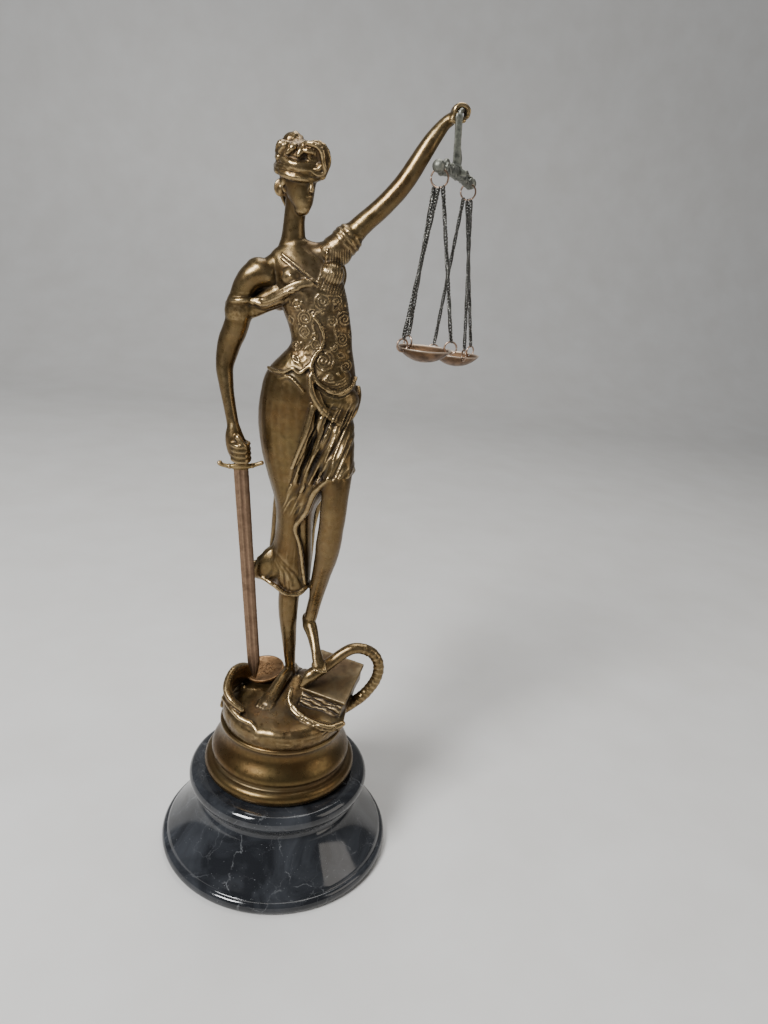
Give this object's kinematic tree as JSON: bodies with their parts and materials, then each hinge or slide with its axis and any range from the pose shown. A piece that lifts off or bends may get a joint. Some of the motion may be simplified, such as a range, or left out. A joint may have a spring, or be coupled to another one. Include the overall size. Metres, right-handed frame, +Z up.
{
  "type": "lady justice statue",
  "caption": "Cast bronze statuette of blindfolded Justice with sword, scales, book and snake, on a turned bronze plinth and a black marble base.",
  "frame": {"origin": "centre of the marble base's flat underside", "axes": "+Z up, +X to the arm that holds the scales, -Y to the front that the picture sees"},
  "size_m": [0.1444, 0.12, 0.3675],
  "materials": {
    "black_marble": "polished black marble with white and grey veins",
    "bronze_patina": "cast bronze with a dark olive brown patina, rubbed bright on the high parts",
    "sword_bronze": "cast bronze, reddish brown, dark at its edge",
    "seal_copper": "stamped copper coloured disc, grainy",
    "dark_pewter": "dull grey green cast metal",
    "dark_steel": "dark bright-worn steel chain",
    "copper_wire": "pale copper wire",
    "pan_copper": "copper brown dish with a pale rubbed rim"
  },
  "bodies": {
    "root": {"marble_base": "black_marble", "figure": "bronze_patina", "sword": "sword_bronze", "seal_disc": "seal_copper", "scale_beam": "dark_pewter", "near_beam_ring": "copper_wire", "near_pan": "pan_copper", "near_chain_1": "dark_steel", "near_pan_ring_1": "copper_wire", "near_chain_2": "dark_steel", "near_pan_ring_2": "copper_wire", "near_chain_3": "dark_steel", "near_pan_ring_3": "copper_wire", "far_beam_ring": "copper_wire", "far_pan": "pan_copper", "far_chain_1": "dark_steel", "far_pan_ring_1": "copper_wire", "far_chain_2": "dark_steel", "far_pan_ring_2": "copper_wire", "far_chain_3": "dark_steel", "far_pan_ring_3": "copper_wire"}
  },
  "joints": []
}
